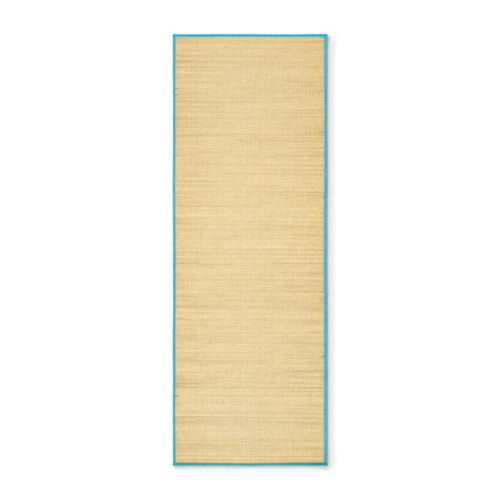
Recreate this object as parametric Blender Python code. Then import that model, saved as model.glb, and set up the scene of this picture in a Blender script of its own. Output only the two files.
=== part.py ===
"""Straw beach mat: a woven straw panel, bound on all four sides with folded cotton tape.

The mat lies flat, +Z up, its length along Y and its width along X, with its origin on the
ground under its centre. The two side tapes are sewn on first. The two end tapes lap over
them at the corners, so the corners are the thickest places.
"""

from collections import namedtuple
from math import cos, pi, sin

import bmesh
import bpy

# Driving sizes, in metres
MAT_LENGTH = 1.800
MAT_WIDTH = 0.645
PANEL_THICKNESS = 0.0024  # the weave in the middle of the mat
RIM_THICKNESS = 0.0014  # the weave where the sewing presses it flat
TAPE_THICKNESS = 0.0010  # two layers: the tape's raw edges are turned under
CLEARANCE = 0.0003  # between touching pieces
UNDER_WIDTH = 0.0135  # how far each tape reaches inwards on the underside
PRESSED_WIDTH = 0.0165  # the panel stays pressed this far in, just past the tapes
EASE = 0.060  # length over which cloth rises from the ground on to a tape
TAPE_STEP = 0.005  # length over which an end tape climbs on to a side tape
MM = 0.001

# Lengths that follow from them
HALF_LENGTH = MAT_LENGTH / 2
HALF_WIDTH = MAT_WIDTH / 2
LIFT = TAPE_THICKNESS + CLEARANCE  # a tape's lower leg raises what lies on it by this
SIDE_FOLD = RIM_THICKNESS / 2 + CLEARANCE + TAPE_THICKNESS  # a side tape's outer fold radius
CORNER_FOLD = SIDE_FOLD + LIFT  # an end tape's fold radius round a side tape
PANEL_END_INSET = SIDE_FOLD + LIFT / 2  # clears an end tape's fold where it widens

# How uneven the edges are. "along" runs from the foot end (0) to the head end (1), the "in"
# columns say how far the edge draws in from the widest line, and the "face" columns how much
# of the tape shows on top, all in millimetres.
SideRow = namedtuple("SideRow", "along left_in left_face right_in right_face")
SIDES = (
    SideRow(0.00, 1.2, 12.1, 0.5, 13.7),
    SideRow(0.06, 0.9, 11.8, 0.0, 13.8),
    SideRow(0.13, 0.2, 10.9, 0.3, 13.9),
    SideRow(0.20, 1.1, 11.8, 0.0, 13.7),
    SideRow(0.29, 0.0, 12.1, 0.4, 13.9),
    SideRow(0.38, 1.9, 11.4, 0.4, 13.3),
    SideRow(0.45, 1.0, 12.0, 1.4, 13.5),
    SideRow(0.51, 1.5, 11.6, 1.1, 13.1),
    SideRow(0.59, 0.5, 11.7, 1.4, 12.8),
    SideRow(0.67, 0.1, 11.2, 0.3, 12.6),
    SideRow(0.73, 1.2, 11.0, 0.5, 12.1),
    SideRow(0.82, 1.2, 11.0, 1.3, 11.2),
    SideRow(0.92, 0.5, 11.7, 0.8, 12.3),
    SideRow(1.00, 0.7, 12.5, 0.9, 13.1),
)
# For the end tapes "along" runs from the left side (0) to the right side (1).
EndRow = namedtuple("EndRow", "along head_in head_face foot_in foot_face")
ENDS = (
    EndRow(0.00, 0.7, 11.5, 1.1, 12.6),
    EndRow(0.08, 1.5, 11.6, 0.9, 12.4),
    EndRow(0.20, 0.9, 11.8, 0.9, 11.8),
    EndRow(0.31, 0.6, 11.6, 0.9, 11.2),
    EndRow(0.42, 1.0, 11.4, 0.6, 10.9),
    EndRow(0.50, 0.7, 11.5, 0.0, 11.0),
    EndRow(0.58, 1.1, 11.3, 0.8, 11.3),
    EndRow(0.70, 1.5, 11.4, 1.0, 11.8),
    EndRow(0.82, 1.5, 11.3, 0.9, 12.5),
    EndRow(0.92, 0.5, 12.0, 0.8, 13.4),
    EndRow(1.00, 0.0, 12.5, 1.0, 13.8),
)

# Cells of each sheet
FOLD_CELLS = 6  # round a tape's fold
LEG_CELLS = 2  # across each leg of a tape
EASE_CELLS = 6  # across the strip where the panel comes down to the ground
STEP_CELLS = 3  # where an end tape climbs on to a side tape
WIDTH_CELLS = 8  # across the flat middle
LENGTH_CELLS = 22  # along the flat middle

STRAW_COLOUR = (0.79, 0.61, 0.34, 1.0)
TAPE_COLOUR = (0.03, 0.42, 0.58, 1.0)


def smooth(t):
    """0 before 0, 1 after 1, and an S-shaped rise between."""
    t = min(max(t, 0.0), 1.0)
    return t * t * (3 - 2 * t)


def table_value(rows, column, along):
    """A column of a table in metres, eased from each row to the next."""
    along = min(max(along, rows[0].along), rows[-1].along)
    for before, after in zip(rows, rows[1:]):
        if along <= after.along:
            share = smooth((along - before.along) / (after.along - before.along))
            low, high = getattr(before, column), getattr(after, column)
            return MM * (low + (high - low) * share)


def side_edge(side, y):
    """How far from the middle the mat's left or right edge lies."""
    return HALF_WIDTH - table_value(SIDES, side + "_in", 0.5 + y / MAT_LENGTH)


def side_face(side, y):
    return table_value(SIDES, side + "_face", 0.5 + y / MAT_LENGTH)


def end_edge(end, x):
    """How far from the middle the mat's head or foot edge lies."""
    return HALF_LENGTH - table_value(ENDS, end + "_in", 0.5 + x / MAT_WIDTH)


def end_face(end, x):
    return table_value(ENDS, end + "_face", 0.5 + x / MAT_WIDTH)


def on_tape(from_edge):
    """1 where cloth lies on a tape's lower leg, easing to 0 where it lies on the ground."""
    return 1 - smooth((from_edge - PRESSED_WIDTH) / EASE)


def spaced(low, high, cells):
    return [low + (high - low) * i / cells for i in range(cells + 1)]


def stations(half, inset, flat_cells):
    """Places along a sheet that is centred on 0 and ends this far short of the mat's edge.

    They are close together where it eases on to a tape, and wide apart between.
    """
    low = [inset - half] + spaced(PRESSED_WIDTH - half, PRESSED_WIDTH + EASE - half, EASE_CELLS)
    high = [-place for place in reversed(low)]
    return low + spaced(low[-1], high[0], flat_cells)[1:-1] + high


def material(name, colour, roughness):
    """A dull cloth or straw surface."""
    made = bpy.data.materials.new(name)
    made.use_nodes = True
    shader = made.node_tree.nodes["Principled BSDF"]
    shader.inputs["Base Color"].default_value = colour
    shader.inputs["Roughness"].default_value = roughness
    shader.inputs["Metallic"].default_value = 0.0
    made.diffuse_color = colour
    return made


def cloth(name, columns, rows, place, finish, collection):
    """One closed sheet: a grid with a cell between each pair of columns and of rows.

    The grid is extruded once, and place(column, row, layer) gives each vertex, with layer 0
    on one face of the cloth and 1 on the other.
    """
    mesh = bpy.data.meshes.new(name)
    made = bmesh.new()
    across, along = len(columns) - 1, len(rows) - 1
    bmesh.ops.create_grid(made, x_segments=across, y_segments=along, size=0.5)
    raised = bmesh.ops.extrude_face_region(made, geom=made.faces[:])
    top = [item for item in raised["geom"] if isinstance(item, bmesh.types.BMVert)]
    bmesh.ops.translate(made, verts=top, vec=(0, 0, 1))
    bmesh.ops.recalc_face_normals(made, faces=made.faces[:])
    for vertex in made.verts:
        column = columns[round((vertex.co.x + 0.5) * across)]
        row = rows[round((vertex.co.y + 0.5) * along)]
        vertex.co = place(column, row, round(vertex.co.z))
    if made.calc_volume(signed=True) < 0:
        bmesh.ops.reverse_faces(made, faces=made.faces[:])
    made.to_mesh(mesh)
    made.free()
    mesh.materials.append(finish)
    piece = bpy.data.objects.new(name, mesh)
    collection.objects.link(piece)
    mesh.shade_smooth()
    mesh.set_sharp_from_angle(angle=pi / 6)
    return piece


def straw_panel(finish, collection):
    """The woven panel: flat on the ground, its pressed rim raised on the tapes' lower legs."""

    def place(x_line, y_line, layer):
        side = "left" if x_line < 0 else "right"
        end = "foot" if y_line < 0 else "head"
        from_side = HALF_WIDTH - abs(x_line)
        from_end = HALF_LENGTH - abs(y_line)
        x = x_line * (side_edge(side, y_line) - SIDE_FOLD) / (HALF_WIDTH - SIDE_FOLD)
        y = y_line * (end_edge(end, x_line) - PANEL_END_INSET) / (HALF_LENGTH - PANEL_END_INSET)
        beside, below = on_tape(from_side), on_tape(from_end)
        pressed = (PANEL_THICKNESS - RIM_THICKNESS) * max(beside, below)
        return x, y, LIFT * (beside + below) + layer * (PANEL_THICKNESS - pressed)

    columns = stations(HALF_WIDTH, SIDE_FOLD, WIDTH_CELLS)
    rows = stations(HALF_LENGTH, PANEL_END_INSET, LENGTH_CELLS)
    return cloth("straw_panel", columns, rows, place, finish, collection)


def fold_columns():
    """Steps across a tape, from its lower free edge (0), round the fold (1 to 2), to its top (3)."""
    lower = [i / LEG_CELLS for i in range(LEG_CELLS)]
    fold = [1 + i / FOLD_CELLS for i in range(FOLD_CELLS + 1)]
    upper = [2 + (i + 1) / LEG_CELLS for i in range(LEG_CELLS)]
    return lower + fold + upper


def folded(step, layer, radius, face):
    """(from the mat's edge, above the tape's underside) on a tape of this outer fold radius."""
    shrink = (1 - layer) * TAPE_THICKNESS
    if step < 1:
        return UNDER_WIDTH + (radius - UNDER_WIDTH) * step, shrink
    if step > 2:
        return radius + (face - radius) * (step - 2), 2 * radius - shrink
    turn = pi * (step - 1)
    return radius - (radius - shrink) * sin(turn), radius - (radius - shrink) * cos(turn)


def side_tape(side, finish, collection):
    """A tape folded over one long edge. Its ends rise on to the lower legs of the end tapes."""
    outwards = -1 if side == "left" else 1

    def place(step, y_line, layer):
        inwards, above = folded(step, layer, SIDE_FOLD, side_face(side, y_line))
        end = "foot" if y_line < 0 else "head"
        last = end_edge(end, outwards * HALF_WIDTH) - CORNER_FOLD
        y = y_line * last / (HALF_LENGTH - CORNER_FOLD)
        raised = LIFT * on_tape(HALF_LENGTH - abs(y_line))
        return outwards * (side_edge(side, y_line) - inwards), y, raised + above

    rows = stations(HALF_LENGTH, CORNER_FOLD, LENGTH_CELLS)
    return cloth("binding_" + side, fold_columns(), rows, place, finish, collection)


def end_tape(end, finish, collection):
    """A tape folded over one short edge, and over the side tapes where it laps them."""
    outwards = -1 if end == "foot" else 1
    lap = max(row.right_face for row in SIDES) * MM + 2 * CLEARANCE

    def place(step, x_line, layer):
        side = "left" if x_line < 0 else "right"
        x = x_line * side_edge(side, outwards * HALF_LENGTH) / HALF_WIDTH
        from_side = HALF_WIDTH - abs(x_line)
        climb = on_tape(from_side) + 1 - smooth((from_side - lap) / TAPE_STEP)
        radius = SIDE_FOLD + LIFT * climb / 2
        inwards, above = folded(step, layer, radius, end_face(end, x_line))
        return x, outwards * (end_edge(end, x_line) - inwards), above

    climbing = spaced(lap - HALF_WIDTH, lap + TAPE_STEP - HALF_WIDTH, STEP_CELLS)
    rows = [row for row in stations(HALF_WIDTH, 0, WIDTH_CELLS) if abs(row) < -climbing[-1]]
    rows = climbing + rows + [-row for row in reversed(climbing)]
    rows = [-HALF_WIDTH] + rows + [HALF_WIDTH]
    return cloth("binding_" + end, fold_columns(), rows, place, finish, collection)


def clear_scene():
    for old in list(bpy.data.objects):
        bpy.data.objects.remove(old, do_unlink=True)


def build():
    clear_scene()
    collection = bpy.data.collections.new("straw_beach_mat")
    bpy.context.scene.collection.children.link(collection)
    straw = material("woven_straw", STRAW_COLOUR, 0.75)
    tape = material("turquoise_tape", TAPE_COLOUR, 0.85)
    straw_panel(straw, collection)
    for side in ("left", "right"):
        side_tape(side, tape, collection)
    for end in ("head", "foot"):
        end_tape(end, tape, collection)


build()
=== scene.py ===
"""Straw beach mat: the weave, the folded tapes and their sewing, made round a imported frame.

The frame gives every place: the tapes' edges, folds and heights come from its solids, row by
row, and so does the height of the panel. The weave is made of separate straws across the mat
and cotton threads along it, which pass over one straw and under the next.
"""

import math
from collections import namedtuple

import bmesh
import bpy
import numpy as np
from bpy.props import FloatProperty, FloatVectorProperty, IntProperty, PointerProperty
from bpy.types import Operator, Panel, PropertyGroup
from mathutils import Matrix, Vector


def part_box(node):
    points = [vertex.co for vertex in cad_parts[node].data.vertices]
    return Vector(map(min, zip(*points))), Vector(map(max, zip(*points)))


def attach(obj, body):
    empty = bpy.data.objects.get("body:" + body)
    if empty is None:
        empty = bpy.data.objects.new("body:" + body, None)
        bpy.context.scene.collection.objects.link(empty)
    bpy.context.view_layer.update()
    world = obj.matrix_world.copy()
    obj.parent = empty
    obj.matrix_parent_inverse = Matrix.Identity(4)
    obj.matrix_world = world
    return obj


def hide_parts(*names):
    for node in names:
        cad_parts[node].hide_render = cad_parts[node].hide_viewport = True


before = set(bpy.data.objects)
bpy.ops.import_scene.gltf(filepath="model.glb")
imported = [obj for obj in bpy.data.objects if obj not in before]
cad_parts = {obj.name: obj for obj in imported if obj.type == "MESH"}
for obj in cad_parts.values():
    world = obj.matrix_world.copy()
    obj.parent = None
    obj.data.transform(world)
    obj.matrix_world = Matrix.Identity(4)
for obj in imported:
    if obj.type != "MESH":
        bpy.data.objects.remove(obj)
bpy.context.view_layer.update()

bl_info = {
    "name": "Straw Beach Mat",
    "version": (1, 0, 0),
    "blender": (4, 5, 0),
    "location": "3D View > Sidebar > Straw Mat",
    "description": "Weaves a straw beach mat with taped edges round its packed frame",
    "category": "Add Mesh",
}

MM = 0.001
TURN = 2 * math.pi
LIFT = 0.02 * MM  # how far what lies under the mat stays above the ground
BAKE_MAP = "OFBake"  # the map laid out for baking the pieces' fine colours
CLOTH_MAP = "Cloth"  # a tape's own map, in metres along and round the cloth
STRAW_SHARE = 0.88  # how much of the panel's baked texture its straws take up
PANEL_NODE = "straw_panel"

# The mat's size, from the frame
HALF_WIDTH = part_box("binding_right")[1].x
HALF_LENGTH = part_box("binding_head")[1].y

# Each tape: its solid, the axis that it runs along (0 is X, 1 is Y), which way is outwards, how
# many millimetres narrower than the solid its cloth is on top, what its colour is multiplied
# by, and how much darker its left or foot end and its right or head end are. The foot tape's
# darker tint is partly painted shade, and its darker ends are painted shade.
Tape = namedtuple("Tape", "piece node along outwards trim tint darker")
TAPES = (
    Tape("tape_left", "binding_left", 1, -1, 0.9, (1.0, 1.0, 1.0), (0.0, 0.0)),
    Tape("tape_right", "binding_right", 1, 1, 0.6, (1.15, 1.02, 1.01), (0.0, 0.0)),
    Tape("tape_head", "binding_head", 0, 1, 0.0, (0.1, 1.07, 1.07), (0.0, 0.0)),
    Tape("tape_foot", "binding_foot", 0, -1, 0.2, (0.80, 0.95, 0.80), (0.4, 1.0)),
)

# At the corners and at a darker end a tape's red, green and blue drop by these shares; the drop at
# a darker end is painted shade. A corner reaches this far in and blends over CORNER_BLEND, and a
# darker end fades over END_FADE
CORNER_DROP = np.array([0.6, 0.02, -0.03])
END_DROP = np.array([1.2, 0.35, 0.21])
CORNER = 18 * MM
CORNER_BLEND = 6 * MM
END_FADE = 0.12

# Where the straws come out from under a side tape and stand at their full height, in
# millimetres from the left edge and from the right one
SHOULDERS = ((11.0, 15.5), (12.5, 16.5))

# Cotton threads along the mat, in millimetres from its left edge at the middle: those that stand
# up to the face of the straws, and finer ones that are sunk between them
THREADS = (
    22, 33, 46, 57, 67, 87, 112, 134, 150, 158, 167, 177, 194, 207, 221, 236, 258, 275, 292, 301,
    318, 335, 351, 376, 402, 432, 443, 456, 472, 492, 514, 532, 550, 567, 585, 600, 610, 620,
)
SUNK_THREADS = (
    77, 99, 123, 142, 186, 247, 267, 284, 310, 326, 343, 363, 389, 411, 421, 464, 482, 503, 523,
    541, 558, 576,
)

# Long waves that everything follows: how high each is in millimetres, how long it is across the
# mat and along it in metres, and its phase. The first set moves the straws, the other the threads
Wave = namedtuple("Wave", "height across along phase")
STRAW_WAVES = (Wave(0.35, 0.52, 1.3, 0.0), Wave(0.21, 0.31, -0.9, 0.0))
THREAD_WAVES = (Wave(1.5, 0.41, 0.52, 0.7), Wave(1.1, 0.17, -0.33, 2.1), Wave(0.6, 0.09, 0.21, 4.0))

# Straws that stand out: how far from the foot end in metres at the mat's middle, the stretch
# across the mat from its left side (0) to its right (1), and how much darker (below 0) or
# paler (above 0) than the usual straw each one is
Streak = namedtuple("Streak", "place start stop tone")
STREAKS = [Streak(*row) for row in (
    (1.765, 0.00, 1.00, -1.3), (1.7495, 0.00, 0.75, 2.0), (1.739, 0.30, 0.70, -1.4),
    (1.706, 0.02, 0.70, -2.0), (1.660, 0.00, 0.35, -2.3), (1.643, 0.05, 0.33, -1.9),
    (1.603, 0.70, 1.00, -1.9), (1.489, 0.60, 1.00, 1.7), (1.375, 0.35, 0.98, 1.8),
    (1.354, 0.40, 1.00, -2.9), (1.330, 0.00, 0.35, 1.8), (1.321, 0.62, 1.00, 1.8),
    (1.217, 0.30, 1.00, -2.5), (1.185, 0.00, 0.33, -1.9), (1.130, 0.68, 1.00, -2.4),
    (1.080, 0.00, 0.62, -2.6), (1.042, 0.00, 0.60, 2.1), (0.870, 0.62, 1.00, 2.3),
    (0.846, 0.60, 1.00, -2.2), (0.838, 0.00, 0.40, -2.4), (0.804, 0.65, 1.00, -2.0),
    (0.729, 0.35, 1.00, -2.3), (0.688, 0.33, 0.66, -2.2), (0.662, 0.00, 0.35, -1.9),
    (0.655, 0.60, 1.00, -2.2), (0.621, 0.00, 0.36, 1.9), (0.458, 0.30, 0.70, 1.8),
    (0.438, 0.00, 0.68, -1.9), (0.396, 0.70, 1.00, -2.3), (0.327, 0.00, 1.00, -2.9),
    (0.310, 0.68, 1.00, -2.5), (0.267, 0.33, 0.68, -1.6), (0.206, 0.00, 0.34, 1.8),
    (0.200, 0.00, 1.00, -2.4), (0.083, 0.00, 0.70, -2.1), (0.056, 0.00, 1.00, 2.4),
    (0.046, 0.00, 1.00, 2.1), (0.038, 0.00, 1.00, -1.6), (0.030, 0.00, 1.00, 2.4),
    (0.0225, 0.00, 1.00, -1.5),
)]
STREAK_TONE = 0.76  # what the streaks' tones are multiplied by
STREAK_FADE = 0.04  # the share of the mat's width over which a streak begins and ends

# Stained straw ends beside the side tapes: which side, how far from the foot end in metres, and
# how dark
Stain = namedtuple("Stain", "side place depth")
STAINS = [Stain(*row) for row in (
    (-1, 1.613, 1.8), (-1, 1.571, 1.5), (-1, 1.545, 1.7), (-1, 1.026, 1.0), (-1, 0.861, 1.7),
    (-1, 0.832, 2.4), (-1, 0.329, 1.7), (-1, 0.288, 3.6), (1, 1.121, 1.8), (1, 1.076, 2.2),
    (1, 1.055, 1.4), (1, 0.846, 0.5), (1, 0.804, 1.4), (1, 0.725, 1.4), (1, 0.455, 5.8),
)]
STAIN_TONE = 2.3  # what the stains' depths are multiplied by

# How the straw's colour shifts along the mat: from the foot end (0) to the head end (1), how
# light it is, how warm it is, and how greyed. The extra lightness of the last row at the head end
# is painted light, which lifts the straws that the head tape shades.
Zone = namedtuple("Zone", "along light warm grey")
ZONES = [Zone(*row) for row in (
    (0.00, 1.02, 3.2, 0.0), (0.015, 0.94, 2.8, 0.0), (0.025, 0.97, 0.8, 0.1),
    (0.07, 0.98, 0.0, 0.9), (0.15, 1.01, -0.2, 0.8), (0.30, 1.01, 0.0, 0.5),
    (0.50, 1.02, 0.0, 0.2), (0.70, 1.01, 0.1, 0.0), (0.85, 0.98, 0.3, 0.0),
    (0.97, 0.97, 0.6, 0.0), (0.98, 0.95, 3.6, 0.0), (0.99, 0.99, 4.6, 0.0),
    (1.00, 1.08, 4.6, 0.0),
)]

# What a unit of each of these adds to the straw's red, green and blue, as shares
WARM = np.array([0.004, -0.006, -0.035])
GREY = np.array([-0.022, 0.010, 0.065])
BLUSH = np.array([0.006, -0.006, 0.004])
# Darker and more orange: partly the straw ends' own weathering and partly painted shade
WEATHER_AND_SHADE = np.array([-0.07, -0.14, -0.30])

# Rows of lamps that light only the floor, and the key light, which lights everything: the setting
# that holds a row's strength and, in degrees, how high it stands, how soft it is, how far its
# middle is turned from the left towards the head end, and how far it reaches
Lamp = namedtuple("Lamp", "name height softness bearing fan")
FLOOR_LAMPS = (
    Lamp("low_lights", 5.5, 5, 20, 80),
    Lamp("side_lights", 20, 14, 35, 60),
    Lamp("end_lights", 14, 12, 75, 50),
)
KEY_LAMP = Lamp("key_light", 40, 25, 34, 0)
LAMP_DISTANCE = 3.0
FLOOR_HALF = 12.0  # half the floor's side
FLOOR_DROP = 0.1 * MM  # how far below the mat the floor lies
SENSOR = 36.0  # the camera's sensor, in millimetres
FAR_CLIP = 100.0

# What sizes, colours and strengths have in common in the settings
SMALL = {"min": 0.0001, "precision": 5, "unit": "LENGTH"}
PAINT = {"subtype": "COLOR", "size": 3, "min": 0.0, "max": 1.0}
STRENGTH = {"min": 0.0, "max": 100.0}


class WeaveSettings(PropertyGroup):
    """Sizes and colours of the straw panel."""

    pitch: FloatProperty(
        name="Straw pitch", description="From one straw to the next", default=0.0031, **SMALL)
    thickness: FloatProperty(
        name="Straw thickness", description="How thick a flattened straw is", default=0.0015, **SMALL)
    thread_width: FloatProperty(
        name="Thread width", description="How wide a cotton thread is", default=0.0010, **SMALL)
    sway: FloatProperty(
        name="Sway", description="How far a straw moves up or down as threads cross it",
        default=0.00018, **SMALL)
    # Painted light and shade: a straw's colour is paler where it bulges over a thread than where it dips
    # under one
    crossing: FloatProperty(
        name="Crossing", description="How much paler a straw is over a thread than under one",
        default=0.075, min=0.0, max=0.5)
    # Painted shade along the groove of a loose thread, and paler straws along a tight one
    groove: FloatProperty(
        name="Groove", description="How much paler straws are along a tight thread than beside it",
        default=0.010, min=0.0, max=0.5)
    lean: FloatProperty(
        name="Lean", description="How much lower the straws' right ends lie than their left ones",
        default=0.0045, **SMALL)
    sections: IntProperty(
        name="Sections", description="How many meshes the long panel is kept in",
        default=6, min=1, max=12)
    seed: IntProperty(name="Seed", description="Which random straws are drawn", default=7, min=0)
    straw: FloatVectorProperty(
        name="Straw", description="The usual straw", default=(0.762, 0.606, 0.324), **PAINT)
    pale: FloatVectorProperty(
        name="Pale straw", description="The palest straws", default=(0.90, 0.76, 0.48), **PAINT)
    tan: FloatVectorProperty(
        name="Tan straw", description="Darker straws", default=(0.52, 0.34, 0.14), **PAINT)
    brown: FloatVectorProperty(
        name="Brown straw", description="Stained and weathered straw",
        default=(0.20, 0.115, 0.05), **PAINT)
    cotton: FloatVectorProperty(
        name="Thread", description="Undyed cotton thread", default=(0.94, 0.89, 0.74), **PAINT)


class TapeSettings(PropertyGroup):
    """Sizes and colours of the binding."""

    thickness: FloatProperty(
        name="Tape thickness", description="Two layers of cotton, its raw edges turned under",
        default=0.0010, **SMALL)
    stitch: FloatProperty(
        name="Stitch pitch", description="From one stitch to the next", default=0.005, **SMALL)
    inset: FloatProperty(
        name="Stitch inset", description="From the tape's free edge to its row of stitches",
        default=0.0022, **SMALL)
    dip: FloatProperty(
        name="Stitch dip", description="How deep a stitch pulls the tape in", default=0.00022, **SMALL)
    sewing_width: FloatProperty(
        name="Sewing thread", description="How thick the sewing thread is", default=0.0005, **SMALL)
    weave: FloatProperty(
        name="Tape weave", description="From one thread of the tape's cotton to the next",
        default=0.0006, **SMALL)
    colour: FloatVectorProperty(
        name="Tape", description="The dyed cotton", default=(0.014, 0.306, 0.431), **PAINT)
    faded: FloatVectorProperty(
        name="Faded tape", description="Where the dye took less well",
        default=(0.060, 0.368, 0.490), **PAINT)
    sewing: FloatVectorProperty(
        name="Sewing", description="The sewing thread", default=(0.015, 0.33, 0.45), **PAINT)


class StageSettings(PropertyGroup):
    """The floor, the lights and the camera, which aren't part of the mat."""

    width: FloatProperty(
        name="View width", description="How much of the floor the camera sees, side to side",
        default=2.0845, min=0.5, max=10.0, unit="LENGTH")
    view_centre: FloatVectorProperty(
        name="View centre", description="Where the camera looks, from the mat's middle",
        size=2, default=(0.0003, -0.0009), min=-0.5, max=0.5, precision=4, unit="LENGTH")
    lens: FloatProperty(
        name="Lens", description="The camera's focal length",
        default=110.0, min=20.0, max=300.0, unit="CAMERA")
    floor: FloatVectorProperty(
        name="Floor", description="The floor's colour", default=(0.333, 0.333, 0.333), **PAINT)
    sky: FloatProperty(
        name="Sky", description="How bright the even light from all round is", default=1.25, **STRENGTH)
    low_lights: FloatProperty(
        name="Low lights", description="A row of low lamps on the left, for the floor's long shadow",
        default=23.5, **STRENGTH)
    side_lights: FloatProperty(
        name="Side lights", description="A row of higher lamps, for its dark inner edge",
        default=3.2, **STRENGTH)
    end_lights: FloatProperty(
        name="End lights", description="A row of softer lamps at the head end, for its short shadow",
        default=7.5, **STRENGTH)
    key_light: FloatProperty(
        name="Key light", description="The high soft light on the upper left, for the mat itself",
        default=0.9, **STRENGTH)
    lamps: IntProperty(name="Lamps", description="How many lamps there are in a row", default=5, min=1)


# Reading the frame


def node_points(node):
    """A solid's vertices, as an (n, 3) array."""
    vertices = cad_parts[node].data.vertices
    points = np.empty(len(vertices) * 3, np.float32)
    vertices.foreach_get("co", points)
    return points.reshape(-1, 3).astype(float)


def in_rows(places):
    """Points less than half a millimetre apart are in one row: (places of the rows, row numbers)."""
    order = np.argsort(places)
    starts = np.diff(places[order]) > MM / 2
    numbers = np.empty(len(places), int)
    numbers[order] = np.concatenate([[0], np.cumsum(starts)])
    return np.bincount(numbers, places) / np.bincount(numbers), numbers


class TapeRows:
    """What the frame says about a tape, row by row along it.

    outer is how far out its fold lies, upper and under are how far out its free edges lie, and
    low and high are its heights. Between rows a value is read off a straight line. A row is whole
    if it is nearly as thick as the tape's thinner quarter: an end tape is thicker at its corners.
    """

    FULL = 0.95  # a row thinner than this share of the usual thickness lacks a vertex
    STRAY = 4 * MM  # a value this far from the middle one lacks a vertex too

    def __init__(self, tape):
        points = node_points(tape.node)
        self.places, numbers = in_rows(points[:, tape.along])
        out = tape.outwards * points[:, 1 - tape.along]
        up = points[:, 2]
        values = []
        for row in range(len(self.places)):
            far, height = out[numbers == row], up[numbers == row]
            low, high = height.min(), height.max()
            middle = (low + high) / 2
            values.append((far.max(), low, high, far[height > middle].min(), far[height < middle].min()))
        self.outer, self.low, self.high, self.upper, self.under = np.array(values).T
        self.upper += tape.trim * MM
        thick = self.high - self.low
        self.whole = thick > self.FULL * np.quantile(thick, 0.25)

    def at(self, name, places):
        """A value at these places, from the whole rows."""
        values = getattr(self, name)
        whole = self.whole & (np.abs(values - np.median(values)) < self.STRAY)
        return np.interp(places, self.places[whole], values[whole])


ROWS = {tape.piece: TapeRows(tape) for tape in TAPES}


def nearest_tape(name, axis, x, y):
    """A value of the side tapes (axis 0) or the end tapes (axis 1), from the one nearest each point."""
    pair = (("tape_left", "tape_right"), ("tape_foot", "tape_head"))[axis]
    return np.where((x, y)[axis] < 0, *(ROWS[tape].at(name, (y, x)[axis]) for tape in pair))


def panel_heights(axis, way):
    """(places, heights) of the panel's top (way 1) or underside (way -1), along its middle.

    The points are those of the triangles that face up or down, to within 60 degrees, and that
    lie less than a millimetre from the middle.
    """
    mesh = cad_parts[PANEL_NODE].data
    mesh.calc_loop_triangles()
    corners = np.empty(len(mesh.loop_triangles) * 3, np.int32)
    mesh.loop_triangles.foreach_get("vertices", corners)
    triangles = node_points(PANEL_NODE)[corners].reshape(-1, 3, 3)
    normals = np.cross(triangles[:, 1] - triangles[:, 0], triangles[:, 2] - triangles[:, 0])
    facing = way * normals[:, 2] > 0.5 * np.linalg.norm(normals, axis=1)
    points = triangles[facing].reshape(-1, 3)
    points = points[np.abs(points[:, 1 - axis]) < MM]
    places, numbers = in_rows(points[:, axis])
    return places, np.bincount(numbers, points[:, 2]) / np.bincount(numbers)


# Meshes


def linked(name, data):
    """A new object in the scene, from its mesh, light or camera."""
    made = bpy.data.objects.new(name, data)
    bpy.context.scene.collection.objects.link(made)
    return made


def numbered(points, start=0):
    """Each point's number, for an array (..., 3) of points, counted from a start."""
    return start + np.arange(points[..., 0].size).reshape(points.shape[:-1])


def put_mesh(name, points, faces, finishes, finish_of=None):
    """A smooth piece from an array (..., 3) of points and a list of arrays of faces (m, corners)."""
    points = np.ascontiguousarray(points, np.float32).reshape(-1, 3)
    corners = np.concatenate([block.ravel() for block in faces])
    sizes = np.concatenate([np.full(len(block), block.shape[1]) for block in faces])
    starts = np.concatenate([[0], np.cumsum(sizes)[:-1]])
    mesh = bpy.data.meshes.new(name)
    mesh.vertices.add(len(points))
    mesh.vertices.foreach_set("co", points.ravel())
    mesh.loops.add(len(corners))
    mesh.loops.foreach_set("vertex_index", corners.astype(np.int32))
    mesh.polygons.add(len(sizes))
    mesh.polygons.foreach_set("loop_start", starts.astype(np.int32))
    for finish in finishes:
        mesh.materials.append(finish)
    if finish_of is not None:
        mesh.polygons.foreach_set("material_index", finish_of.astype(np.int32))
    mesh.polygons.foreach_set("use_smooth", np.full(len(sizes), True))
    mesh.update(calc_edges=True)
    return linked(name, mesh)


def put_map(piece, name, corners):
    """A UV map from an (n, 2) array with a row for each face corner."""
    layer = piece.data.uv_layers.new(name=name, do_init=False)
    layer.uv.foreach_set("vector", np.ascontiguousarray(corners, np.float32).ravel())


def put_colour_and_shade(piece, colours):
    """A colour for each point, from an (n, 3) array, which the finishes read as dye: colour with any
    painted shade in it.
    """
    attribute = piece.data.color_attributes.new("dye", "FLOAT_COLOR", "POINT")
    with_alpha = np.concatenate([colours, np.ones((len(colours), 1))], axis=1)
    attribute.data.foreach_set("color", with_alpha.astype(np.float32).ravel())


def ring_faces(numbers):
    """Quads between neighbouring closed rings of points, from their numbers as (..., rings, points)."""
    here, after = numbers[..., :-1, :], numbers[..., 1:, :]
    turned, turned_after = np.roll(here, -1, axis=-1), np.roll(after, -1, axis=-1)
    return np.stack([here, after, turned_after, turned], axis=-1).reshape(-1, 4)


def declare(piece, node):
    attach(piece, "root")
    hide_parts(node)


def smooth_step(t):
    """0 below 0, 1 above 1, and a smooth rise between them."""
    t = np.clip(t, 0.0, 1.0)
    return t * t * (3 - 2 * t)


# Shader expressions


class Value:
    """A number or a colour that runs through a shader's nodes. Arithmetic on it adds Math nodes."""

    def __init__(self, finish, socket):
        self.finish = finish
        self.socket = socket

    def maths(self, operation, *values):
        """The output of a new Math node."""
        return self.finish.node("ShaderNodeMath", {"operation": operation}, dict(enumerate(values)))

    def __add__(self, other):
        return self.maths("ADD", self, other)

    def __mul__(self, other):
        return self.maths("MULTIPLY", self, other)

    __radd__ = __add__
    __rmul__ = __mul__

    def sine(self):
        return self.maths("SINE", self)


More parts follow.
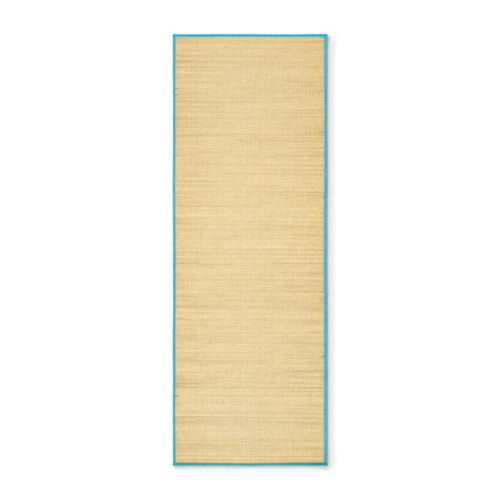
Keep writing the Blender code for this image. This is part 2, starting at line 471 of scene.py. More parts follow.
class Finish:
    """A material being made, with its Principled shader."""

    def __init__(self, name):
        self.material = bpy.data.materials.new(name)
        self.material.use_nodes = True
        self.tree = self.material.node_tree
        self.shader = self.tree.nodes["Principled BSDF"]

    def node(self, kind, settings, sockets, output=0):
        """Adds a node: its settings first, then its sockets' values or links. Gives one output."""
        made = self.tree.nodes.new(kind)
        for name, setting in settings.items():
            setattr(made, name, setting)
        for name, value in sockets.items():
            self.feed(made.inputs[name], value)
        return Value(self, made.outputs[output])

    def feed(self, socket, value):
        """Links a value to a socket, or sets it if it's a plain number or colour."""
        if isinstance(value, Value):
            self.tree.links.new(value.socket, socket)
        else:
            socket.default_value = value

    def drive(self, sockets):
        """Sets sockets of the Principled shader to values or links."""
        for name, value in sockets.items():
            self.feed(self.shader.inputs[name], value)

    def place(self):
        """Where a point is on its piece, in metres."""
        return self.node("ShaderNodeTexCoord", {}, {}, "Object")

    def parts(self, vector):
        """A vector's X and Y."""
        first = self.node("ShaderNodeSeparateXYZ", {}, {0: vector})
        return [Value(self, output) for output in first.socket.node.outputs[:2]]

    def noise(self, vector, scale, detail=1.0, roughness=0.5):
        """Noise from 0 to 1: the larger its scale, the finer. Scales along X, Y and Z stretch it."""
        if isinstance(scale, tuple):
            vector = self.node("ShaderNodeVectorMath", {"operation": "MULTIPLY"}, {0: vector, 1: scale})
            scale = 1.0
        sockets = {"Vector": vector, "Scale": scale, "Detail": detail, "Roughness": roughness}
        return self.node("ShaderNodeTexNoise", {"noise_dimensions": "3D"}, sockets, "Fac")

    def spread(self, value, low, high, to_low=0.0, to_high=1.0):
        """value carried from low..high to to_low..to_high, and held there."""
        ends = {"From Min": low, "From Max": high, "To Min": to_low, "To Max": to_high}
        return self.node("ShaderNodeMapRange", {"clamp": True}, {"Value": value, **ends})

    def mixed(self, share, first, second, blend="MIX"):
        """Two colours mixed. A Mix node's colours are its sockets 6 and 7, and its output 2."""
        settings = {"data_type": "RGBA", "blend_type": blend}
        return self.node("ShaderNodeMix", settings, {"Factor": share, 6: first, 7: second}, 2)

    def dyed(self, colour):
        """A colour multiplied by the mesh's own."""
        return self.mixed(1.0, colour, self.dye(), "MULTIPLY")

    def dye(self):
        """The mesh's own colour, with the painted shade that the straws, threads and tapes carry in it.
        """
        return self.node("ShaderNodeAttribute", {"attribute_name": "dye"}, {}, "Color")

    def shaded(self, colour, shade):
        """A colour multiplied by a number."""
        grey = self.node("ShaderNodeCombineXYZ", {}, {0: shade, 1: shade, 2: shade})
        return self.mixed(1.0, colour, grey, "MULTIPLY")

    def twist(self, across, along):
        """Bands from 0 to 1 that slant as a thread's plies do: this far apart along X and along Y."""
        x, y = self.parts(self.place())
        return (y * (TURN / along) + x * (TURN / across)).sine() * 0.5 + 0.5

    def bump(self, height, distance, strength):
        """A Normal that rises by this distance, in metres, where the height is 1."""
        sockets = {"Height": height, "Distance": distance, "Strength": strength}
        return self.node("ShaderNodeBump", {}, sockets, "Normal")


def rgba(colour, shade=1.0):
    """A colour for a socket, darkened by a shade below 1."""
    return (*(shade * channel for channel in colour), 1.0)


def straw_finish(settings):
    """Dyed by the mesh's own colours, with fine fibres along each straw and small brown flecks.

    The fibres are noise stretched along X, and a fleck is where a coarser stretched noise peaks.
    """
    finish = Finish("woven_straw")
    place = finish.place()
    fibres = finish.noise(place, (45.0, 2600.0, 900.0), 3.0, 0.65)
    ridges = finish.noise(place, (18.0, 5200.0, 2600.0))
    blotches = finish.noise(place, (28.0, 420.0, 90.0), 2.0, 0.6)
    mottle = finish.noise(place, (240.0, 330.0, 100.0))
    flecks = finish.spread(finish.noise(place, (210.0, 1300.0, 400.0)), 0.70, 0.78)
    shade = finish.spread(fibres, 0.25, 0.75, 0.86, 1.12) * finish.spread(blotches, 0.3, 0.7, 0.95, 1.05)
    shade *= finish.spread(mottle, 0.25, 0.75, 0.97, 1.03) * finish.spread(ridges, 0.3, 0.7, 0.93, 1.07)
    grained = finish.shaded(finish.dye(), shade)
    finish.drive({
        "Base Color": finish.mixed(flecks * 0.55, grained, rgba(settings.brown)),
        "Roughness": finish.spread(fibres, 0.3, 0.7, 0.48, 0.66),
        "Normal": finish.bump(fibres * 0.6 + ridges * 0.4, 0.18 * MM, 0.6),
    })
    return finish.material


def cotton_finish(settings):
    """Undyed two-ply thread: slanting bands along Y, with painted shade in the grooves."""
    finish = Finish("cotton_thread")
    twist = finish.twist(1.1 * MM, 0.9 * MM)
    fuzz = finish.noise(finish.place(), 900.0, 2.0)
    up = finish.spread(twist * 0.7 + fuzz * 0.3, 0.1, 0.6)
    colour = finish.mixed(up, rgba(settings.cotton, 0.62), rgba(settings.cotton))
    finish.drive({
        "Base Color": finish.dyed(colour),
        "Roughness": 0.85,
        "Normal": finish.bump(twist, 0.08 * MM, 0.6),
    })
    return finish.material


def tape_finish(settings):
    """Plain-woven cotton on the tape's own map: a thread over and a thread under, each way.

    The weave is the product of two sines, one along and one across the tape, and its colour is
    painted lighter where the threads rise and in shade where they dip. The dye is uneven over
    some centimetres.
    """
    finish = Finish("turquoise_tape")
    along, across = finish.parts(finish.node("ShaderNodeUVMap", {"uv_map": CLOTH_MAP}, {}))
    half_turn = math.pi / settings.weave
    crossing = (along * half_turn).sine() * (across * half_turn).sine()
    place = finish.place()
    uneven = finish.noise(place, 26.0, 3.0, 0.6)
    fluff = finish.noise(place, 1400.0, 2.0)
    fade = finish.spread(uneven * 0.75 + fluff * 0.25, 0.35, 0.70)
    colour = finish.dyed(finish.mixed(fade, rgba(settings.colour), rgba(settings.faded)))
    finish.drive({
        "Base Color": finish.shaded(colour, finish.spread(crossing, -1.0, 1.0, 0.80, 1.12)),
        "Roughness": 0.88,
        "Specular IOR Level": 0.15,
        "Normal": finish.bump(crossing * 0.5 + fluff * 0.4, 0.12 * MM, 0.7),
    })
    return finish.material


def sewing_finish(settings):
    """Sewing thread: a fine twist, with painted shade in its grooves and a slight gloss."""
    finish = Finish("sewing_thread")
    twist = finish.twist(0.7 * MM, 0.7 * MM)
    finish.drive({
        "Base Color": finish.mixed(twist, rgba(settings.sewing, 0.7), rgba(settings.sewing)),
        "Roughness": 0.6,
        "Normal": finish.bump(twist, 0.06 * MM, 0.5),
    })
    return finish.material


# The weave


def bell(rng, shape, middle, spread, low, high):
    """Random values round a middle, with this spread, held between low and high."""
    return np.clip(middle + spread * rng.standard_normal(shape), low, high)


def wandering(rng, rows, places, length):
    """Random values of spread 1 for each row at these places, alike over about this length.

    It is white noise times a square root of the table exp(-distance / length).
    """
    alike = np.exp(-np.abs(places[:, None] - places) / length)
    return rng.standard_normal((rows, len(places))) @ np.linalg.cholesky(alike).T


def rippling(rng, rows, places, length, limit):
    """Three sines of random phase, of about this length, held within a limit."""
    total = np.zeros((rows, len(places)))
    for octave in (0.7, 1.0, 1.6):
        phase = rng.uniform(0, TURN, (rows, 1))
        total += np.sin(TURN * places / (length * octave) + phase)
    return np.clip(total / math.sqrt(1.5), -limit, limit)


def waves(table, x, y):
    """The sum of a table's sines at these places, in metres."""
    return MM * sum(w.height * np.sin(TURN * (x / w.across + y / w.along) + w.phase) for w in table)


class Weave:
    """Where every straw and thread of the panel lies, as whole arrays.

    Straw k lies between the lines edges[k] and edges[k + 1], which run across the mat. Its
    columns are its two ends, one at each thread and one midway between each two threads.
    """

    END_ROOM = 0.9 * MM  # how far the last straws stay from the fold of an end tape
    EVEN_END = 0.03  # over this much of each end the edge lines straighten, to fill the panel
    EVEN_SIDE = 0.02  # and over this much of each side the columns do
    CLEAR = 0.3 * MM  # how far a bare straw is lifted, which leaves room for the threads under it
    THICKEST = 0.9 * MM  # half the thickness of the thickest straw

    # A straw's tone: how much is its own, how much wanders along it, how much of the tones of the
    # two straws before it is added, how strong dark and pale tones are, and how much is grain
    OWN = 0.38
    WANDERS = 0.86
    BEFORE = (0.28, 0.12)
    DARK, PALE = 0.486, 0.414
    GRAIN = 0.04

    def __init__(self, settings):
        self.settings = settings
        self.rng = np.random.default_rng(settings.seed)
        left, head = ROWS["tape_left"], ROWS["tape_head"]
        self.fold = float(np.median(left.high - left.low)) / 2
        self.half_width = HALF_WIDTH - self.fold
        self.half_length = HALF_LENGTH - (float(np.median(head.high - head.low)) / 2 + self.END_ROOM)
        self.lay_columns()
        self.lay_straws()
        self.lay_heights()
        self.colour_straws()

    def lay_columns(self):
        """The columns, which of them are on a thread (near is 1, and 0 off it), and on which thread.

        side is -1 at the panel's left side, 0 at its middle and 1 at its right side.
        """
        places = np.array(THREADS + SUNK_THREADS) * MM - HALF_WIDTH
        order = np.argsort(places)
        threads, count = places[order], len(places)
        self.bold = np.where(order < len(THREADS), 1.0, -1.0)
        left, right = (HALF_WIDTH - np.array(shoulders) * MM for shoulders in SHOULDERS)
        bare = [-self.half_width, *-left, *right, self.half_width]
        columns = np.concatenate([threads, (threads[1:] + threads[:-1]) / 2, bare])
        order = np.argsort(columns)
        self.columns = columns[order]
        self.near = np.where(order < count, 1.0, 0.0)
        self.number = np.where(order < count, order, 0)
        self.threads = np.flatnonzero(order < count)
        self.side = self.columns / self.half_width
        self.reach = self.half_width - np.abs(self.columns)

    def lay_straws(self):
        """Uneven widths that fill the panel's length, each edge line leaning and rippling a little.

        Each thread also has its own ripple, and is tight (above 0) or loose (below 0) by turns.
        """
        settings, rng, columns = self.settings, self.rng, self.columns
        self.count = count = int(round(2 * self.half_length / settings.pitch))
        widths = bell(rng, count, 1.0, 0.17, 0.62, 1.5)
        edges = np.concatenate([[0], np.cumsum(widths)])
        edges = (edges / edges[-1] * 2 - 1) * self.half_length
        lean = -settings.lean * self.side / 2
        taper = bell(rng, (count + 1, 1), 0.0, 0.25, -0.5, 0.5) * MM * self.side
        ripple = 0.035 * MM * rippling(rng, count + 1, columns, 0.12, 1.5)
        free = smooth_step((self.half_length - np.abs(edges)) / self.EVEN_END)[:, None]
        edges = edges[:, None]
        self.edges = edges + free * (lean + waves(STRAW_WAVES, columns[None], edges) + taper + ripple)
        middles = (edges[:-1, 0] + edges[1:, 0]) / 2
        own = 0.4 * MM * rippling(rng, len(self.threads), middles, 0.21, 2.2)
        self.own = own.T[:, self.number] * self.near
        self.tight = rippling(rng, len(self.threads), middles, 0.11, 1.8).T

    def lay_heights(self):
        """Middle height and half thickness of the weave at each straw and column."""
        settings = self.settings
        self.across = (self.edges[:-1] + self.edges[1:]) / 2
        x = np.broadcast_to(self.columns, self.across.shape)
        low_x, high_x = (np.interp(x, *panel_heights(0, way)) for way in (-1, 1))
        low_y, high_y = (np.interp(self.across, *panel_heights(1, way)) for way in (-1, 1))
        thickness = np.minimum(high_x - low_x, high_y - low_y)
        bare = self.bare(x, self.across)
        squeeze = thickness.min() / thickness.max()
        self.low = low_x + low_y
        self.middle = self.low + np.maximum(thickness / 2, bare * (settings.thickness / 2 + self.CLEAR))
        self.press = squeeze + (1 - squeeze) * bare
        over = (np.add.outer(np.arange(self.count), self.number) % 2) * 2 - 1
        self.over = over * self.near  # 1 where the straw lies over a thread, and -1 where under one
        widths = np.diff(self.edges, axis=0)
        plump = bell(self.rng, (self.count, 1), 1.0, 0.10, 0.75, 1.2)
        half_thick = settings.thickness / 2 * plump * np.sqrt(widths / settings.pitch) * self.press
        self.half_thick = np.minimum(half_thick, self.THICKEST * self.press)

    def bare(self, x, y):
        """0 where a straw is pressed under a tape, and 1 where it is bare.

        It rises over 3.5 mm, from half a millimetre inside the tape's free edge.
        """
        shares = []
        for axis, reach in enumerate((HALF_WIDTH - np.abs(x), HALF_LENGTH - np.abs(y))):
            width = nearest_tape("outer", axis, x, y) - nearest_tape("upper", axis, x, y)
            shares.append(smooth_step((reach - width + 0.5 * MM) / (3.5 * MM)))
        return np.minimum(*shares)

    def wandered(self, rows):
        """Where the columns lie across the mat at these straws."""
        x, y = self.columns[None], self.across[rows]
        free = smooth_step((self.half_width - np.abs(x)) / self.EVEN_SIDE)
        return x + free * waves(THREAD_WAVES, x, y) + self.own[rows]

    def shifted(self, x, y):
        """Carries even places to the panel's own uneven outline, as the frame has it."""
        side = nearest_tape("outer", 0, x, y) - self.fold
        end = nearest_tape("outer", 1, x, y) - (HALF_LENGTH - self.half_length)
        return x * side / self.half_width, y * end / self.half_length

    def relief(self):
        """How strongly the threads and the painted shade of the crossings show, by column: least at the
        middle.
        """
        return 0.75 + 0.6 * self.side ** 2

    def colour_straws(self):
        """A tone and a warmth for each straw and column, and from them its colour.

        Straws differ most near the side tapes. Painted light and shade stand for the weave's
        relief: a straw is painted paler where it bulges over a thread and darker where it dips under
        one, most of all at a tight one, and painted shade runs along a loose thread's groove.
        """
        rng, count, columns = self.rng, self.count, self.columns
        tone = self.OWN * rng.standard_normal((count, 1))
        tone = tone + self.WANDERS * wandering(rng, count, columns, 0.16)
        tone += sum(share * np.roll(tone, 1 + back, axis=0) for back, share in enumerate(self.BEFORE))
        tone *= np.where(tone < 0, self.DARK, self.PALE)
        warmth = 0.8 * wandering(rng, count, columns, 0.20)
        blush = wandering(rng, count, columns, 0.10)
        tone += self.GRAIN * rng.standard_normal(tone.shape)
        share = self.side / 2 + 0.5
        middle = self.across[:, len(columns) // 2] + HALF_LENGTH
        for streak in STREAKS:
            k = int(np.argmin(np.abs(middle - streak.place)))
            inside = smooth_step((share - streak.start) / STREAK_FADE)
            inside *= smooth_step((streak.stop - share) / STREAK_FADE)
            tone[k] += (STREAK_TONE * streak.tone - tone[k]) * inside
        tone *= 0.68 + 0.86 * np.abs(self.side) ** 1.7
        tone -= self.stained_ends(middle)
        along = (self.across + HALF_LENGTH) / (2 * HALF_LENGTH)
        light, warm, grey = (np.interp(along, [zone.along for zone in ZONES], values)
                             for values in list(zip(*ZONES))[1:])
        warmth += warm - 0.7 * tone
        tight = self.tight[:, self.number]
        # Painted light and shade of the crossings: paler over a thread, darker under one and along a
        # loose thread
        crossing = 1 + self.settings.crossing * self.over * (1 + 0.4 * tight) * self.relief()
        crossing += self.settings.groove * self.near * (tight - 0.5)
        colour = self.straw_colours(tone, warmth, grey) * (light * crossing)[..., None]
        self.dye = colour * (1 + blush[..., None] * BLUSH) * self.weathered_and_shaded_sides()[None]

    def weathered_and_shaded_sides(self):
        """What each column's colour is multiplied by: straws are darker and more orange at their ends.

        That is partly their own weathering and partly painted shade, and it fades over 80 mm on the
        left and over 130 mm on the right.
        """
        left = self.columns < 0
        fall = np.exp(-self.reach / np.where(left, 0.080, 0.130))
        return 1 + (np.where(left, 0.90, 0.92) * fall)[:, None] * WEATHER_AND_SHADE

    def stained_ends(self, middle):
        """How much darker each straw is near its two ends, where some are stained.

        A stain is deepest up to 13 mm from the panel's side, and fades over 8 mm.
        """
        depth = bell(self.rng, (self.count, 2), -0.9, 1.0, 0.0, 1.4)
        for stain in STAINS:
            k = int(np.argmin(np.abs(middle - stain.place)))
            depth[k, int(stain.side > 0)] = STAIN_TONE * stain.depth
        near = np.exp(-((self.reach - 13 * MM).clip(0) / (8 * MM)))
        return np.where(self.columns < 0, depth[:, :1], depth[:, 1:]) * near

    def straw_colours(self, tone, warmth, grey):
        """Pale above 0, up to 3.2, tan below it, down to -3.6, and brown from -3.2 down to -5.7."""
        straw, pale, tan, brown = (
            np.array(getattr(self.settings, name)) for name in ("straw", "pale", "tan", "brown"))
        up, down, deep = (
            np.clip(share, 0, 1)[..., None] for share in (tone / 3.2, -tone / 3.6, (-tone - 3.2) / 2.5))
        colour = straw + up * (pale - straw) + down * (tan - straw)
        colour += deep * (brown - colour)
        return np.clip(colour * (1 + warmth[..., None] * WARM + grey[..., None] * GREY), 0.01, 1)

    def rings(self, *corners):
        """Rings of points from their even places and heights, carried to the panel's outline."""
        return np.stack([np.stack([*self.shifted(x, y), z], axis=-1) for x, y, z in corners], axis=2)

    def straw_rings(self, rows):
        """(straws, columns, 4, 3) points: each straw's foot-side edge, top, head-side edge, underside.

        Between two straws there is a gap of 0.08 mm, and of 0.2 mm at a thread.
        """
        gap = (0.04 + 0.06 * self.near) * MM
        x = self.wandered(rows)
        foot, head = self.edges[:-1][rows] + gap, self.edges[1:][rows] - gap
        middle, half = self.across[rows], self.half_thick[rows]
        up = self.middle[rows] + self.over[rows] * self.settings.sway * self.press[rows]
        return self.rings((x, foot, up), (x, middle, up + half), (x, head, up), (x, middle, up - half))

    def thread_rings(self, rows):
        """(threads, straws, 3, 3) points: each thread's left, top and right side at each straw.

        A thread is about half as thick as it is wide, and a tight or bold one is a little wider.
        """
        settings, at = self.settings, (rows, self.threads)
        x, y = self.wandered(rows)[:, self.threads], self.across[at]
        half = 0.27 * settings.thread_width * self.press[at]
        clear = self.half_thick[at] - settings.sway * self.press[at] + half
        up = np.maximum(self.middle[at] - self.over[at] * clear, self.low[at] + half + LIFT)
        wide = settings.thread_width / 2 * (0.94 + 0.02 * self.bold + 0.10 * self.tight[rows])
        corners = (x - wide, y, up - half), (x, y, up + half), (x + wide, y, up - half)
        return self.rings(*corners).swapaxes(0, 1)

    def thread_shades(self, rows):
        """(threads, straws) shades of the thread's colour, painted: a sunk or loose one lies lower and
        is darker, a bold or tight one paler.
        """
        bold = (self.bold * self.relief()[self.threads])[:, None]
        return np.minimum(0.72 + 0.12 * bold + 0.06 * self.tight[rows].T, 1.0)


def straw_map(straws, columns):
    """Each straw is a strip of the texture, its edges at the strip's sides and its crest midway."""
    straw, column, up = np.ix_(np.arange(straws), np.arange(columns), [0.06, 0.5, 0.94, 0.5])
    at = np.broadcast_arrays(column / (columns - 1), STRAW_SHARE * (straw + up) / straws)
    return np.stack(at, axis=-1).reshape(-1, 2)


def thread_map(threads, rings):
    """The threads lie side by side in the texture's last strip."""
    thread, ring, side = np.ix_(np.arange(threads), np.arange(rings), [0.1, 0.5, 0.9])
    up = STRAW_SHARE + (1 - STRAW_SHARE) * (0.05 + 0.9 * ring / (rings - 1))
    return np.stack(np.broadcast_arrays((thread + side) / threads, up), axis=-1).reshape(-1, 2)


def weave_section(weave, number, finishes):
    """One stretch of the panel: its straws, and its threads up to the next stretch's first straw."""
    sections = weave.settings.sections
    first, last = weave.count * number // sections, weave.count * (number + 1) // sections
    thread_rows = slice(first, min(last + 1, weave.count))
    straws, threads = weave.straw_rings(slice(first, last)), weave.thread_rings(thread_rows)
    faces = []
    for numbers in (numbered(straws), numbered(threads, straws[..., 0].size)):
        faces += [ring_faces(numbers), numbers[:, 0], numbers[:, -1, ::-1]]
    finish_of = np.concatenate([np.full(len(block), int(i > 2)) for i, block in enumerate(faces)])
    points = np.concatenate([straws.reshape(-1, 3), threads.reshape(-1, 3)])
    piece = put_mesh("weave_%d" % (number + 1), points, faces, finishes, finish_of)
    at = np.concatenate([straw_map(*straws.shape[:2]), thread_map(*threads.shape[:2])])
    put_map(piece, BAKE_MAP, at[np.concatenate([block.ravel() for block in faces])])
    straw_colour_and_shade = np.repeat(weave.dye[first:last].reshape(-1, 3), 4, axis=0)
    thread_painted_shade = np.repeat(weave.thread_shades(thread_rows).ravel(), 3)[:, None] * np.ones(3)
    put_colour_and_shade(piece, np.concatenate([straw_colour_and_shade, thread_painted_shade]))
    declare(piece, PANEL_NODE)


# The tapes


def arc(centre_in, centre_up, radius, first, last, count):
    """Points on part of a circle, from one angle in degrees to another: (how far in, how high)."""
    turn = np.radians(np.linspace(first, last, count))
    return centre_in - radius * np.cos(turn), centre_up + radius * np.sin(turn)


def tape_section(rows, places, settings):
    """(rows, points) arrays of how far out and how high a folded tape's outline lies.

    The outline runs along the underside, round the fold as a half circle, along the top, round
    the free edge, which is pressed to 0.6 of the thickness from the stitches on, and back along
    the inside. Stitches pull both legs in: the dip is a bell across the tape, 1.3 mm wide to
    each side, times a cosine along it, deepest at each needle hole.
    """
    outer, low, high = (rows.at(name, places)[:, None] for name in ("outer", "low", "high"))
    upper, under = (outer - rows.at(name, places)[:, None] for name in ("upper", "under"))
    thick = settings.thickness
    rim_thick = 0.6 * thick
    radius = (high - low) / 2
    line = upper - settings.inset
    near, far = 0.8 * MM, 1.6 * MM  # where the legs have more points, on both sides of the stitches
    pull = settings.dip * (0.6 + 0.4 * np.cos(TURN * places / settings.stitch))[:, None]

    def dip(inwards):
        return pull * np.exp(-(((inwards - line) / (1.3 * MM)) ** 2))

    under_leg = np.concatenate([under - thick / 2, line + far, line, line - far], axis=1)
    flat = radius + (line - far - radius) * np.array([0.4, 0.8])
    top_leg = np.concatenate([flat, line - near, line, line + near, upper - rim_thick / 2], axis=1)
    thinner = (thick - rim_thick) * smooth_step((top_leg - line) / (settings.inset - rim_thick / 2))
    outline = (
        (under_leg, low + dip(under_leg)),
        arc(radius, low + radius, radius, -90, 90, 8),
        (top_leg, high - dip(top_leg) - thinner),
        arc(upper - rim_thick / 2, high - thick + rim_thick / 2, rim_thick / 2, 120, 240, 3),
        arc(radius, low + radius, radius - thick, 90, -90, 5),
        arc(under - thick / 2, low + thick / 2, thick / 2, 120, 240, 3),
    )
    inwards, heights = (np.concatenate(parts, axis=1) for parts in zip(*outline))
    return outer - inwards, heights


def on_tape(tape, places, out, up):
    """Points (..., 3) from places along a tape, distances outwards and heights."""
    points = np.empty((*np.shape(out), 3))
    points[..., tape.along] = places
    points[..., 1 - tape.along] = tape.outwards * out
    points[..., 2] = up
    return points


def outward_faces(tape, faces):
    """Turns the faces of the tapes on which along, outwards and up make a left-handed set."""
    flipped = (tape.outwards > 0) != (tape.along == 1)
    return [block[:, ::-1] for block in faces] if flipped else faces


def tape_maps(piece, tape, places, out, up, faces):
    """A tape's two maps. Gives its girth, all round both faces of the cloth.

    On the cloth's own map a point is as far along and as far round as it is on the tape. For the
    baked texture the tape is cut across into strips, which lie over one another and fill a
    square, and its two end faces lie above them, all with margins between.
    """
    walls, *caps = faces
    steps, around = len(places) - 1, out.shape[1]
    row, point = np.divmod(walls, around)
    point[:, 2:][point[:, 2:] == 0] = around
    sides = [np.diff(part[0], append=part[0, 0]) for part in (out, up)]
    round_it = np.concatenate([[0], np.cumsum(np.hypot(*sides))])
    girth = float(round_it[-1])
    strips = max(1, round(math.sqrt(np.ptp(places) / girth)))
    strip = row[:, :1] * strips // steps
    along = 0.01 + 0.97 * (row * strips / steps - strip)
    up_strip = 0.95 * (strip + 0.04 + 0.92 * round_it[point] / girth) / strips
    cloth = [np.stack([places[row], round_it[point]], axis=-1)]
    bake = [np.stack([along, up_strip], axis=-1)]
    for number, cap in enumerate(caps):
        at = np.stack([out.ravel()[cap], up.ravel()[cap]], axis=-1)
        share = (at - at.min((0, 1))) / np.ptp(at, axis=(0, 1))
        cloth.append(at)
        bake.append(share * [0.4, 0.035] + [0.05 + 0.5 * number, 0.96])
    for name, blocks in ((CLOTH_MAP, cloth), (BAKE_MAP, bake)):
        corners = [block.reshape(-1, 2) for block in outward_faces(tape, blocks)]
        put_map(piece, name, np.concatenate(corners))
    return girth


def tape_tint_and_shade(tape, places):
    """What the cloth's colour is multiplied by at these places: its tint, its corners, and the painted
    shade of a darker end.
    """
    reach = (HALF_WIDTH if tape.along == 0 else HALF_LENGTH) - np.abs(places)
    corner = smooth_step((CORNER - reach) / CORNER_BLEND)[:, None]
    end = (np.where(places < 0, *tape.darker) * np.exp(-reach / END_FADE))[:, None]
    return np.array(tape.tint) * (1 - corner * CORNER_DROP) * (1 - end * END_DROP).clip(0.05)


def tape_piece(tape, settings, finish):
    """A folded tape, closed all round, with two rows of points to each stitch."""
    rows = ROWS[tape.piece]
    first, last = rows.places[0], rows.places[-1]
    places = np.linspace(first, last, int(round((last - first) / (settings.stitch / 2))) + 1)
    out, up = tape_section(rows, places, settings)
    points = on_tape(tape, places[:, None], out, up)
    numbers = numbered(points)
    faces = [ring_faces(numbers), numbers[:1], numbers[-1:, ::-1]]
    piece = put_mesh(tape.piece, points, outward_faces(tape, faces), [finish])
    girth = tape_maps(piece, tape, places, out, up, faces)
    put_colour_and_shade(piece, np.repeat(tape_tint_and_shade(tape, places), points.shape[1], axis=0))
    declare(piece, tape.node)


def stitch_piece(tape, settings, finish):
    """The row of stitches along a tape, above and below.

    Each stitch is a four-sided spindle: two square rings at a quarter of the pitch from its
    middle, and a point at each end that goes down into the cloth.
    """
    rows = ROWS[tape.piece]
    pitch = settings.stitch
    margin = 4 * MM
    count = int((rows.places[-1] - rows.places[0] - 2 * margin) / pitch)
    centres = (np.arange(count) - (count - 1) / 2) * pitch + (rows.places[0] + rows.places[-1]) / 2
    centres = (np.round(centres / pitch - 0.5) + 0.5) * pitch  # midway between needle holes
    half = settings.sewing_width / 2
    sunk = 0.35 * settings.dip + 0.1 * half
    along = np.array([-0.42, *[-0.25] * 4, *[0.25] * 4, 0.42]) * pitch
    aside = np.array([0, *[-half, 0, half, 0] * 2, 0])
    rise = np.array([-half, *[0, half, 0, -half] * 2, -half])
    places = centres[:, None] + along
    line = rows.at("upper", centres)[:, None] + settings.inset
    sides = []
    for height, sign in ((rows.at("high", centres), 1), (rows.at("low", centres), -1)):
        up = height[:, None] + sign * (rise - sunk)
        sides.append(on_tape(tape, places, line + aside, up if sign > 0 else np.maximum(up, LIFT)))
    points = np.concatenate(sides)
    numbers = numbered(points)
    here = np.arange(1, 5)
    turned = np.roll(here, -1)
    starts = np.stack([np.zeros(4, int), here, turned], axis=1)
    walls = np.stack([here, here + 4, turned + 4, turned], axis=1)
    stops = np.stack([np.full(4, 9), turned + 4, here + 4], axis=1)
    faces = [numbers[:, part].reshape(-1, part.shape[1]) for part in (starts, walls, stops)]
    piece = put_mesh(tape.piece.replace("tape", "stitches"), points, faces, [finish])
    put_map(piece, BAKE_MAP, stitch_map(len(numbers)))
    face_outwards(piece)
    declare(piece, tape.node)


def stitch_map(count):
    """Each stitch has its own cell of a square grid: its length lies across it and its girth up it."""
    side = np.arange(4)[:, None]
    tips = np.concatenate([side + 0.5, side, side + 1], axis=1) / 4
    walls = np.concatenate([side, side, side + 1, side + 1], axis=1) / 4
    shapes = (
        ([0.0, 0.2, 0.2], tips),
        ([0.2, 0.8, 0.8, 0.2], walls),
        ([1.0, 0.8, 0.8], tips[:, [0, 2, 1]]),
    )
    grid = math.ceil(math.sqrt(count))
    cells = np.stack(np.divmod(np.arange(count), grid)[::-1], axis=-1)[:, None, None]
    corners = []
    for along, girth in shapes:
        at = np.stack(np.broadcast_arrays(np.array(along)[None], girth), axis=-1)
        corners.append(((cells + 0.06 + 0.88 * at) / grid).reshape(-1, 2))
    return np.concatenate(corners)


def face_outwards(piece):
    """Recalculates which way the faces of many small closed shapes point."""
    mesh = bmesh.new()
    mesh.from_mesh(piece.data)
    bmesh.ops.recalc_face_normals(mesh, faces=mesh.faces[:])
    mesh.to_mesh(piece.data)
    mesh.free()


# The stage


def far_lights(lamp, strength, count=1, receivers=None):
    """A row of far soft lights that share a strength, and light only the receivers if it has any."""
    height = math.radians(lamp.height)
    for turn in np.linspace(-0.5, 0.5, count) if count > 1 else [0.0]:
        bearing = math.radians(lamp.bearing + turn * lamp.fan)
        light = bpy.data.lights.new(lamp.name, "SUN")
        light.energy = strength / count
        light.angle = math.radians(lamp.softness)
        made = linked(lamp.name, light)
        made.rotation_euler = (0.0, height - math.pi / 2, -bearing)
        towards = np.array([-math.cos(bearing), math.sin(bearing), math.sin(height)])
        made.location = LAMP_DISTANCE * towards
        made.light_linking.receiver_collection = receivers


def only(piece):
    """What a light's receivers are set to for it to light this piece alone."""
    made = bpy.data.collections.new("only_" + piece.name)
    made.objects.link(piece)
    made.collection_objects[0].light_linking.link_state = "INCLUDE"
    return made


def pale_floor(settings):
    """A square floor just below the mat, with a faint grain in how rough it is."""
    finish = Finish("pale_floor")
    grain = finish.noise(finish.place(), 3.0, 2.0)
    rough = finish.spread(grain, 0.3, 0.7, 0.85, 0.95)
    finish.drive({"Base Color": rgba(settings.floor), "Roughness": rough})
    corners = np.array([[-1, -1, 0], [1, -1, 0], [1, 1, 0], [-1, 1, 0]]) * FLOOR_HALF
    return put_mesh("floor", corners - [0, 0, FLOOR_DROP], [np.array([[0, 1, 2, 3]])], [finish.material])


def look_down(settings):
    """A camera straight above the view's centre, high enough for the lens to see the view's width."""
    camera = bpy.data.cameras.new("camera")
    camera.lens = settings.lens
    camera.sensor_width = SENSOR
    camera.clip_end = FAR_CLIP
    made = linked("camera", camera)
    made.location = (*settings.view_centre, settings.width * settings.lens / SENSOR)
    bpy.context.scene.camera = made


# Operators


class WeavePanel(Operator):
    """Weave the straw panel in its sections"""

    bl_idname = "straw_mat.weave"
    bl_label = "Weave the Panel"

    def execute(self, context):
        settings = context.scene.straw_mat_weave
        weave = Weave(settings)
        finishes = [straw_finish(settings), cotton_finish(settings)]
        for number in range(settings.sections):
            weave_section(weave, number, finishes)
        return {"FINISHED"}


class FoldTapes(Operator):
    """Fold the four tapes over the panel's edges"""

    bl_idname = "straw_mat.tapes"
    bl_label = "Fold the Tapes"

    def execute(self, context):
        settings = context.scene.straw_mat_tape
        finish = tape_finish(settings)
        for tape in TAPES:
            tape_piece(tape, settings, finish)
        return {"FINISHED"}


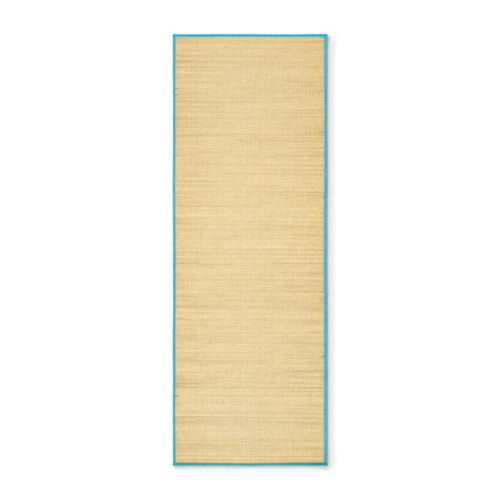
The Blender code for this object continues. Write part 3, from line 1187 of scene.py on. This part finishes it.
class SewTapes(Operator):
    """Sew the tapes down with a row of stitches on each"""

    bl_idname = "straw_mat.stitches"
    bl_label = "Sew the Tapes"

    def execute(self, context):
        settings = context.scene.straw_mat_tape
        finish = sewing_finish(settings)
        for tape in TAPES:
            stitch_piece(tape, settings, finish)
        return {"FINISHED"}


class SetStage(Operator):
    """Lay a pale floor, light it softly from the upper left and look straight down"""

    bl_idname = "straw_mat.stage"
    bl_label = "Set the Stage"

    def execute(self, context):
        settings = context.scene.straw_mat_stage
        floor = pale_floor(settings)
        world = bpy.data.worlds.new("studio")
        context.scene.world = world
        world.use_nodes = True
        sky = world.node_tree.nodes["Background"]
        sky.inputs["Color"].default_value = (1.0, 1.0, 1.0, 1.0)
        sky.inputs["Strength"].default_value = settings.sky
        for lamp in FLOOR_LAMPS:
            far_lights(lamp, getattr(settings, lamp.name), settings.lamps, only(floor))
        far_lights(KEY_LAMP, settings.key_light)
        look_down(settings)
        context.scene.view_settings.view_transform = "Standard"
        return {"FINISHED"}


class StrawMatPanel(Panel):
    """Lists the mat's sizes and colours, and the steps that make it."""

    bl_idname = "VIEW3D_PT_straw_mat"
    bl_label = "Straw Mat"
    bl_space_type = "VIEW_3D"
    bl_region_type = "UI"
    bl_category = "Straw Mat"

    def draw(self, context):
        for name, group, operators in STEPS:
            box = self.layout.box()
            for size in group.__annotations__:
                box.prop(getattr(context.scene, name), size)
            for operator in operators:
                box.operator(operator.bl_idname)


STEPS = (
    ("straw_mat_weave", WeaveSettings, (WeavePanel,)),
    ("straw_mat_tape", TapeSettings, (FoldTapes, SewTapes)),
    ("straw_mat_stage", StageSettings, (SetStage,)),
)
CLASSES = (
    WeaveSettings, TapeSettings, StageSettings,
    WeavePanel, FoldTapes, SewTapes, SetStage, StrawMatPanel,
)


def register():
    for made in CLASSES:
        bpy.utils.register_class(made)
    for name, group, operators in STEPS:
        setattr(bpy.types.Scene, name, PointerProperty(type=group))


def unregister():
    for name, group, operators in STEPS:
        delattr(bpy.types.Scene, name)
    for made in reversed(CLASSES):
        bpy.utils.unregister_class(made)


def main():
    register()
    bpy.ops.straw_mat.weave()
    bpy.ops.straw_mat.tapes()
    bpy.ops.straw_mat.stitches()
    bpy.ops.straw_mat.stage()


if __name__ == "__main__":
    main()
